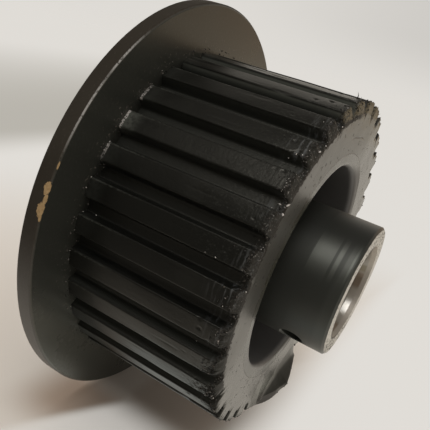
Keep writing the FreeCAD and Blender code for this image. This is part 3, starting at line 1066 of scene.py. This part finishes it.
def hub_finish():
    """Black skin painted darker on top, bands painted pale as a highlight, bare metal on the end, stained in
    the bore.
    """
    f = Finish("blackened_hub")
    cloud = grain(f.place, 60, 4)
    fine = grain(f.place, 1300, 3)
    rings = grain(f.vector(0.0, f.along * 2.6, f.radius * 2.6), 1.0, 2)
    edge = f.radius + (grain(f.place, 700, 3) - 0.5) * 1.6
    behind = f.along - hub_front / MM
    past_bore = f.radius - bore_radius / MM
    at_end = fade(behind, 0.12, 0.04)
    end = at_end * fade(edge, BARE_EDGE, BARE_EDGE - 0.3)
    bore = fade(past_bore, BORE_LEAD + 0.4, BORE_LEAD)
    polish_and_highlight = cloud * 0.1
    for place, reach, strength, core in BANDS:
        polish_and_highlight = most(polish_and_highlight, near(f.along, place, reach, core) * strength)
    # The bands are kept to the side where the lamp's highlight falls: their pale colour is a painted
    # highlight.
    polish_and_highlight = polish_and_highlight * f.turned(BAND_HIGHLIGHT_TURN, BAND_HIGHLIGHT_REACH, 0.15)
    dull = fade(f.along, DULL_FROM - 0.4, DULL_FROM + 0.4)
    mouth = near(past_bore, 0.8, 0.5, 0.6) * at_end * fade(f.x, 4, -4)
    pitted = fade(f.z, -10, -18) + fade(f.z, 6, 14) * 0.6
    specks = fade(grain(f.place, 1300, 2) + pitted * 0.11, 0.63, 0.68) * end
    entry = fade(behind, 2.0, 1.5) * bore
    # Where the bore gets its painted highlight.
    shiny = f.turned(*BORE_HIGHLIGHT_PLACE) * bore
    metal = mix(specks, mix(cloud, END_DARK, END_PALE), END_PITS)
    colour = layered(soot(0.045), [
        (fade(f.along, *PALE_END), soot(0.057)),
        # Painted shade: the top of the barrel is darker.
        (fade(f.z, 14, 22), soot(0.034)),
        (polish_and_highlight, soot(0.118)),
        (most(end, bore), mix(bore, metal, bore_wall(f, entry, shiny))),
        (mouth, MOUTH_BROWN),
    ])
    rough = 0.38 - polish_and_highlight * 0.08 + dull * 0.1 + cloud * 0.06 - bore * 0.12 + entry * 0.22 + specks * 0.3
    height = rings * (0.06 + end * 0.6) + fine * 0.15 * (1 - bore)
    metallic = 0.35 + end * 0.65 + bore * 0.2 + shiny * 0.3
    return f.close(colour, rough, height, 0.06, Metallic=metallic)


dress(nodes["hub"], hub_finish())

# %% [markdown]
# The drum shows its cut ring, which has the tone of the rubber beside it, and the dark wall of the pocket
# with the fine rings of the tool. Screws are blackened and rubbed in places; washers are dull zinc.

# %% Drum, screws and washers
RING_DARK = (0.036, 0.036, 0.029, 1)
RING_PALE = (0.06, 0.06, 0.047, 1)
RING_RIGHT_TONE = (0.034, 0.029, 0.023, 1)


def drum_finish():
    """Grey turned wall, a darker cut ring at the front, darker and rougher still on its right side."""
    f = Finish("dark_turned_drum")
    cloud = grain(f.place, 80, 4)
    rings = grain(f.vector(0.0, f.along * 1.8, f.radius * 1.8), 1.0, 2)
    ring = fade(f.along - tread_front / MM, 0.8, 0.2)
    # The ring is darker and rougher on its right side.
    right_side = ring * fade(f.x, 5, 20) * fade(f.z, 40, 34)
    colour = mix(cloud, grey(0.09, -0.01), grey(0.145, -0.01))
    colour = layered(colour, [(ring, mix(rings, RING_DARK, RING_PALE)), (right_side, RING_RIGHT_TONE)])
    rough = 0.44 + cloud * 0.14 - ring * 0.24 + right_side * 0.17
    return f.close(colour, rough, rings + cloud * 0.3, 0.06)


def screw_finish():
    f = Finish("blackened_screws")
    cloud = grain(f.place, 300, 4)
    fine = grain(f.place, 2500, 2)
    colour = mix(fade(cloud, 0.55, 0.75), grey(0.03, 0.02), grey(0.16, 0.05))
    return f.close(colour, 0.32 + cloud * 0.2, fine + cloud, 0.05, Metallic=0.8)


def zinc_finish():
    f = Finish("dull_zinc")
    cloud = grain(f.place, 400, 4)
    fine = grain(f.place, 3000, 2)
    colour = mix(cloud, grey(0.35), grey(0.55, 0.03))
    return f.close(colour, 0.35 + cloud * 0.2, fine + cloud, 0.04, Metallic=1.0)


dress(nodes["core_drum"], drum_finish())
blackened = screw_finish()
zinc = zinc_finish()
for name, node in nodes.items():
    if "screw" in name:
        dress(node, blackened)
    elif "washer" in name:
        dress(node, zinc)

# %% [markdown]
# ## The room
# The wheel lies in a pale room under a soft lamp. The floor is a large disc of rings that touches the
# flange's rim. It is part of the stage and not of the wheel.

# %% Floor
FLOOR_RINGS = np.array([0.02, 0.2, 0.5, 1, 2, 4, 6])[:, None]
FLOOR_SIDES = 96
floor_level = -flange_radius


def add_floor():
    """Rings of points about the axle's foot, joined into a flat disc."""
    turn = np.linspace(0, 2 * math.pi, FLOOR_SIDES + 1)[:-1]
    across, along = FLOOR_RINGS * np.cos(turn), FLOOR_RINGS * np.sin(turn)
    points = np.stack(np.broadcast_arrays(across, along, floor_level), -1)
    faces = grid_faces(*points.shape[:2], False, True).tolist() + [list(range(len(turn)))[::-1]]
    mesh = bpy.data.meshes.new("pale_floor")
    mesh.from_pydata(points.reshape(-1, 3).tolist(), [], [face[::-1] for face in faces])
    floor = bpy.data.objects.new("pale_floor", mesh)
    bpy.context.scene.collection.objects.link(floor)
    return floor


pale_floor = add_floor()
print("floor at", round(floor_level, 4))

# %% [markdown]
# Floor and room treat rays in different ways. Light Path tells which rays come from the camera and which come
# off shiny things, and a few more words make matt paint, plain glow and blends of the two.

# %% Words for the room
def ray(start, kind):
    """1 for one kind of ray, such as Is Camera Ray."""
    return start.node("ShaderNodeLightPath", {}, {}, kind)


def mirrored(start):
    """1 for rays off shiny things or through clear ones, which show the backdrop too."""
    return most(ray(start, "Is Glossy Ray"), ray(start, "Is Transmission Ray"))


def paint(start, colour):
    """A matt shader of that colour."""
    return start.node("ShaderNodeBsdfDiffuse", {}, {"Color": colour})


def glow(start, colour):
    """A shader that shines in that colour at strength 1."""
    return start.node("ShaderNodeEmission", {}, {"Color": colour, "Strength": 1.0})


def blend(mask, below, above):
    """Shader below where the mask is 0 and above where it is 1."""
    return mask.node("ShaderNodeMixShader", {}, {0: mask, 1: below, 2: above})


# %% [markdown]
# The floor has a painted brown shadow under the wheel and a painted pool of light on its left. In front and
# far away it is as bright as the room, with a painted shady band behind, and at last it fades out, so no
# horizon shows. The camera and shiny things both see the bright floor, the latter in tints matched to the
# wheel's real reflections and dark on the far left, while close to the wheel plain paint takes its shadow.

# %% Floor finish
ROOM = (0.755, 0.73, 0.69, 1)
MIRRORED_ROOM = (0.86, 0.80, 0.705, 1)
LIT_FLOOR = (0.88, 0.90, 0.845, 1)
TAN_FLOOR = (0.86, 0.75, 0.57, 1)
SHADY = (0.475, 0.455, 0.41, 1)
PALE_PAINT = (0.82, 0.79, 0.75, 1)
SHADOW_PAINT = (0.40, 0.29, 0.215, 1)
DARK_PAINT = (0.10, 0.10, 0.10, 1)
TAN_FROM = (1000, 1800)
FADE_OUT = (2000, 5500)


def floor_finish():
    """Paint with a painted brown shadow under the wheel, blended with the room's light where the floor is
    bright.
    """
    f = Finish("pale_floor")
    seen = ray(f.start, "Is Camera Ray")
    shiny = mirrored(f.start)
    far = f.start.node("ShaderNodeVectorMath", {"operation": "LENGTH"}, {0: f.place}, "Value") / MM
    ahead = f.along + f.x * 0.45
    # Painted shadow: brown paint under and behind the flange and the tread.
    by_flange = fade(ahead, 4, 10) * fade(f.x, -70, -44) * fade(f.along, 60, 36)
    by_flange = by_flange * (0.78 - fade(f.x, -32, -18) * 0.5)
    by_tread = fade(f.x, -30, -14) * fade(f.along, -26, -14) * fade(f.along, 28, 14) * 0.5
    painted_shadow = most(by_flange, by_tread) * fade(f.x, 100, 50)
    # A painted pool of light on the floor's left.
    lit_side = fade(ahead, 9, 2) * fade(f.x, -18, -38) * fade(far, 250, 140)
    close_by = lit_side * fade(f.x, -85, -55)
    band = fade(f.along, 290, 370) * fade(f.along, 1000, 400) * fade(f.along - f.x * 0.5, 0, 150)
    bright = most(fade(f.along, -20, -46), fade(far, 120, 340)) * 0.95
    bright = most(bright, lit_side * 0.45)
    shown = mix(close_by, mix(fade(f.x, *TAN_FROM), MIRRORED_ROOM, TAN_FLOOR), LIT_FLOOR)
    painted = blend(painted_shadow, paint(f.start, PALE_PAINT), paint(f.start, SHADOW_PAINT))
    light = blend(band, glow(f.start, mix(shiny, ROOM, shown)), glow(f.start, SHADY))
    lit = blend(bright * seen + (bright + close_by * 0.95) * shiny, painted, light)
    lit = blend(fade(f.x, -75, -190) * shiny * 0.9, lit, paint(f.start, DARK_PAINT))
    gone = f.start.node("ShaderNodeBsdfTransparent", {}, {})
    f.start.node("ShaderNodeOutputMaterial", {}, {"Surface": blend(fade(far, *FADE_OUT), lit, gone)})
    print("finish", f.material.name, len(f.material.node_tree.nodes), "nodes")
    return f.material


dress(pale_floor, floor_finish())

# %% [markdown]
# The room itself is the world, a brightness that depends on the direction. It is darker on the camera's side,
# as it was for the photograph: that keeps the black rubber black, while flat angles mirror the bright side.
# Shiny things see brown near the horizon on the right, and a soft window behind the camera's right shoulder.

# %% Room
WARM = (0.775, 0.705, 0.63, 1)
WOOD = (0.60, 0.43, 0.29, 1)
WINDOW = (-0.2, -0.8, 0.56)


def room_light():
    """World whose strength depends on the direction and on the kind of ray that meets it."""
    world = bpy.data.worlds.new("pale_room")
    world.use_nodes = True
    world.node_tree.nodes.clear()
    start = Wire(world.node_tree)
    direction = start.node("ShaderNodeTexCoord", {}, {}, "Generated")
    rightwards, backwards, upwards = axes_of(direction)
    facing = {0: direction, 1: WINDOW}
    at_window = start.node("ShaderNodeVectorMath", {"operation": "DOT_PRODUCT"}, facing, "Value")
    sheen = fade(rightwards, -0.6, 0.5) * fade(upwards, 0.9, 0.25) * 0.88
    sheen = sheen * (0.3 + fade(backwards, -0.64, -0.53) * 0.7) + fade(at_window, 0.85, 0.96) * 0.6 + 0.12
    soft = fade(rightwards, -0.9, 0.7) * 0.95 + 0.25
    seen = ray(start, "Is Camera Ray")
    shiny = mirrored(start)
    wood = fade(upwards, -0.12, -0.04) * fade(upwards, 0.5, 0.15) * fade(rightwards, 0.3, 0.7) * shiny
    wood = wood * fade(backwards, 0.2, -0.05) * fade(backwards, -0.64, -0.54)
    tint = mix(wood, mix(shiny, ROOM, MIRRORED_ROOM), WOOD)
    tint = mix((1 - seen) * (1 - shiny), tint, WARM)
    backdrop_level = 0.97 - fade(backwards, 0.55, 0.1) * fade(upwards, -0.04, 0.06) * 0.16
    strength = seen * backdrop_level + (1 - seen) * (shiny * sheen + (1 - shiny) * soft)
    backdrop = start.node("ShaderNodeBackground", {}, {"Color": tint, "Strength": strength})
    start.node("ShaderNodeOutputWorld", {}, {"Surface": backdrop})
    print("room of", len(world.node_tree.nodes), "nodes")
    return world


bpy.context.scene.world = room_light()

# %% [markdown]
# The lamp is large, soft and a good metre away, high up on the left. It is weak, because most of the light
# comes from the room.

# %% Lamp
LAMP_FROM = Vector((-0.468, -0.06, 0.869))
LAMP_AWAY = 1.2
LAMP_SIZE = (0.55, 0.6)
LAMP_WATTS = 4.2
LAMP_COLOUR = (1.0, 0.97, 0.93)
lamp_data = bpy.data.lights.new("overhead_lamp", "AREA")
lamp_data.shape = "RECTANGLE"
lamp_data.size, lamp_data.size_y = LAMP_SIZE
lamp_data.energy = LAMP_WATTS
lamp_data.color = LAMP_COLOUR
lamp = bpy.data.objects.new("overhead_lamp", lamp_data)
lamp.location = LAMP_FROM.normalized() * LAMP_AWAY
lamp.rotation_euler = LAMP_FROM.to_track_quat("Z", "Y").to_euler()
bpy.context.scene.collection.objects.link(lamp)
print("lamp of", LAMP_WATTS, "W at", [round(value, 3) for value in lamp.location])

# %% [markdown]
# The camera stands close, above and to the left of the hub. Its place and its three angles were worked out
# from the circles of the wheel, which fix the view completely. The picture is an off-centre cut of a larger
# one, so the lens is shifted.

# %% Camera
CAMERA_PLACE = Vector((-0.19412, -0.07354, 0.07387))
CAMERA_RIGHT = Vector((0.52197, -0.81734, 0.24396))
CAMERA_UP = Vector((0.22594, 0.40828, 0.88445))
SENSOR_WIDTH = 36.0
FOCAL_PIXELS = 554.02
PICTURE_PIXELS = 430
MIDDLE_PIXEL = (177.67, 260.06)
camera_data = bpy.data.cameras.new("camera")
camera_data.sensor_width = SENSOR_WIDTH
camera_data.lens = SENSOR_WIDTH * FOCAL_PIXELS / PICTURE_PIXELS
camera_data.shift_x = 0.5 - MIDDLE_PIXEL[0] / PICTURE_PIXELS
camera_data.shift_y = MIDDLE_PIXEL[1] / PICTURE_PIXELS - 0.5
camera_data.clip_start = 0.01
camera = bpy.data.objects.new("camera", camera_data)
axes = Matrix((CAMERA_RIGHT, CAMERA_UP, CAMERA_RIGHT.cross(CAMERA_UP))).transposed()
camera.matrix_world = Matrix.Translation(CAMERA_PLACE) @ axes.to_4x4()
bpy.context.scene.collection.objects.link(camera)
bpy.context.scene.camera = camera
bpy.context.scene.view_settings.view_transform = "Standard"
print("camera with a lens of", round(camera_data.lens, 1), "mm")
